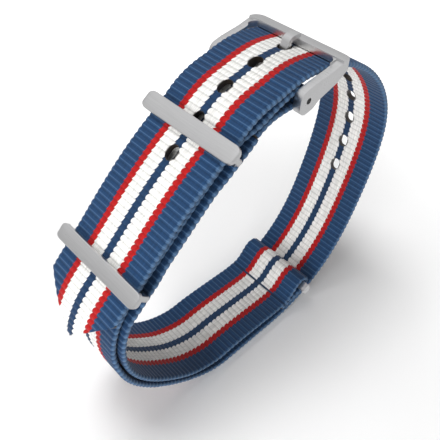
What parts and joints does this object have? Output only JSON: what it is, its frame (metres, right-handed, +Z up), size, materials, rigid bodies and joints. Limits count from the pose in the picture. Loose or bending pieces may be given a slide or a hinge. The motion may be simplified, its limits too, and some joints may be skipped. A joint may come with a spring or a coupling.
{
  "type": "watch strap",
  "caption": "Striped woven nylon pass-through watch strap, buckled into a loop: punched tail band under a tongue buckle and through flat metal keepers, with a shorter inner band.",
  "frame": {"origin": "middle of the strap's box in X and Y, at the height it rests on", "axes": "+Z up with the loop standing on its run; the loop lies in the XZ plane, the bands' width along Y, the buckle at the top towards +X"},
  "size_m": [0.0744, 0.022, 0.0706],
  "materials": {
    "long_band": "ribbed nylon webbing",
    "short_band": "ribbed nylon webbing",
    "buckle_frame": "satin",
    "buckle_tongue": "satin",
    "spring_bar_tube": "satin",
    "spring_bar_spring": "satin",
    "spring_bar_plunger_near": "satin",
    "spring_bar_plunger_far": "satin",
    "keeper_upper": "satin",
    "keeper_lower": "satin",
    "keeper_end": "satin"
  },
  "bodies": {
    "bands": {"long_band": "long_band", "short_band": "short_band", "spring_bar_tube": "spring_bar_tube", "spring_bar_spring": "spring_bar_spring"},
    "frame": {"buckle_frame": "buckle_frame"},
    "tongue": {"buckle_tongue": "buckle_tongue"},
    "plunger_near": {"spring_bar_plunger_near": "spring_bar_plunger_near"},
    "plunger_far": {"spring_bar_plunger_far": "spring_bar_plunger_far"},
    "upper": {"keeper_upper": "keeper_upper"},
    "lower": {"keeper_lower": "keeper_lower"},
    "end": {"keeper_end": "keeper_end"}
  },
  "joints": [
    {"name": "buckle_swing", "type": "hinge", "parent": "bands", "child": "frame", "pos_m": [0.00569, 0, 0.06503], "axis": [0, -1, 0], "range_deg": [0, 2]},
    {"name": "tongue_swing", "type": "hinge", "parent": "frame", "child": "tongue", "pos_m": [0.00569, 0, 0.06503], "axis": [0, -1, 0], "range_deg": [0, 1]},
    {"name": "plunger_near_press", "type": "slide", "parent": "bands", "child": "plunger_near", "axis": [0, 1, 0], "range_m": [0, 0.0006], "stiffness_N_per_m": 200, "springref_m": -0.001, "deforming": ["spring_bar_spring"]},
    {"name": "plunger_far_press", "type": "slide", "parent": "bands", "child": "plunger_far", "axis": [0, -1, 0], "range_m": [0, 0.0006], "stiffness_N_per_m": 200, "springref_m": -0.001, "deforming": ["spring_bar_spring"]},
    {"name": "upper_keeper_slide", "type": "slide", "parent": "bands", "child": "upper", "axis": [-0.8298, 0, -0.5581], "range_m": [-0.0005, 0.0005]},
    {"name": "lower_keeper_slide", "type": "slide", "parent": "bands", "child": "lower", "axis": [-0.7531, 0, -0.6579], "range_m": [-0.0005, 0.0005]},
    {"name": "end_keeper_swing", "type": "hinge", "parent": "bands", "child": "end", "pos_m": [0.01548, 0, 0.00596], "axis": [0, 1, 0], "range_deg": [-2, 2]}
  ]
}
